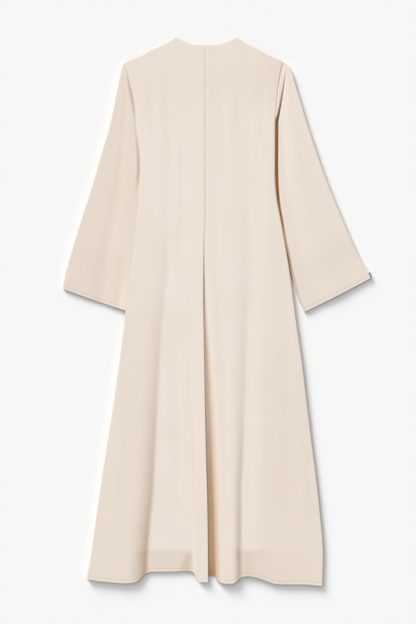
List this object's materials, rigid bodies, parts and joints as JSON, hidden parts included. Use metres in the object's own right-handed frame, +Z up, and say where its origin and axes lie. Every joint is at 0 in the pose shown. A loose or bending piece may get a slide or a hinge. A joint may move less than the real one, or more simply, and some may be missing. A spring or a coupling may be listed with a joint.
{
  "type": "abaya cloak",
  "caption": "Full-length open abaya cloak laid flat back up, with flared set-in sleeves, a scooped neck, a centre back seam and an inverted back pleat that opens to the hem.",
  "frame": {"origin": "on the surface that the cloak lies on, under the middle of its whole length and width", "axes": "+Y along the centre back towards the neck, +X towards the cloak's right sleeve as seen from above, +Z up out of its back"},
  "size_m": [0.7876, 1.3998, 0.0245],
  "materials": {
    "crepe_back": "matte cream crepe with a soft low sheen",
    "crepe_sleeve": "matte cream crepe with a soft low sheen",
    "crepe_inner": "matte cream crepe, inner side",
    "tab_satin": "plain woven satin tab"
  },
  "bodies": {
    "root": {"back_left": "crepe_back", "back_right": "crepe_back", "pleat_gore": "crepe_inner", "front_left": "crepe_inner", "front_right": "crepe_inner", "sleeve_left": "crepe_sleeve", "sleeve_right": "crepe_sleeve", "cuff_tab": "tab_satin"}
  },
  "joints": []
}
